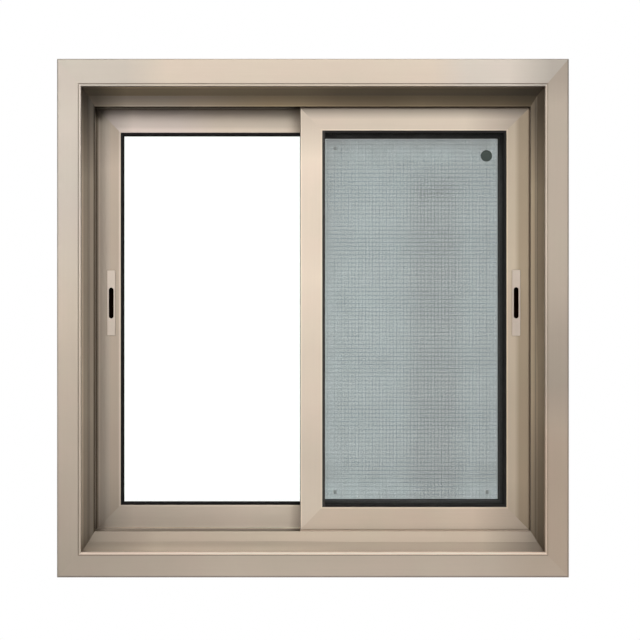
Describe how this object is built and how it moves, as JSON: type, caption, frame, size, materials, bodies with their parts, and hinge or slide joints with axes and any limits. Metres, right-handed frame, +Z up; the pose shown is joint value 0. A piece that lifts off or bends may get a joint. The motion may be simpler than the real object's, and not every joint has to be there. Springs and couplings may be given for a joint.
{
  "type": "horizontal sliding window",
  "caption": "Three-track aluminium sliding window with a wide mitred wall casing, glazed sashes, flush locks and an insect screen sash.",
  "frame": {"origin": "middle of the back flange of the sill casing, in the wall plane", "axes": "+X to the right seen from the room, +Y outdoors through the wall, +Z up"},
  "size_m": [1.2, 0.153, 1.216],
  "materials": {
    "casing": "satin champagne powder coat",
    "frame": "satin champagne powder coat",
    "frame_trim": "satin champagne paint",
    "sash": "satin champagne powder coat",
    "rail_cap": "brushed",
    "glass": "clear float glass",
    "spacer": "mill finish bar",
    "gasket": "matte black",
    "lock_plate": "satin pale champagne",
    "lock_cup": "moulded black",
    "roller": "nylon",
    "carriage": "zinc plated",
    "pile": "dark grey pile",
    "mesh": "woven stainless wire",
    "bead": "black clamping bead"
  },
  "bodies": {
    "root": {"casing_head": "casing", "casing_left": "casing", "casing_right": "casing", "casing_sill": "casing", "frame_head": "frame", "frame_jamb_left": "frame", "frame_jamb_right": "frame", "frame_sill": "frame", "front_sash_bottom_rail": "sash", "front_sash_carriages": "carriage", "front_sash_gasket": "gasket", "front_sash_glass": "glass", "front_sash_lock_cup": "lock_cup", "front_sash_lock_plate": "lock_plate", "front_sash_lock_stile": "sash", "front_sash_meeting_stile": "sash", "front_sash_pile": "pile", "front_sash_rollers": "roller", "front_sash_spacer": "spacer", "front_sash_top_rail": "sash", "rear_sash_bottom_rail": "sash", "rear_sash_carriages": "carriage", "rear_sash_gasket": "gasket", "rear_sash_glass": "glass", "rear_sash_lock_cup": "lock_cup", "rear_sash_lock_plate": "lock_plate", "rear_sash_lock_stile": "sash", "rear_sash_meeting_stile": "sash", "rear_sash_pile": "pile", "rear_sash_rollers": "roller", "rear_sash_spacer": "spacer", "rear_sash_top_rail": "sash", "screen_bead": "bead", "screen_bottom_rail": "sash", "screen_carriages": "carriage", "screen_inner_stile": "sash", "screen_mesh": "mesh", "screen_outer_stile": "sash", "screen_pile": "pile", "screen_rollers": "roller", "screen_top_rail": "sash", "track_caps": "rail_cap", "weep_covers": "frame_trim"}
  },
  "joints": []
}
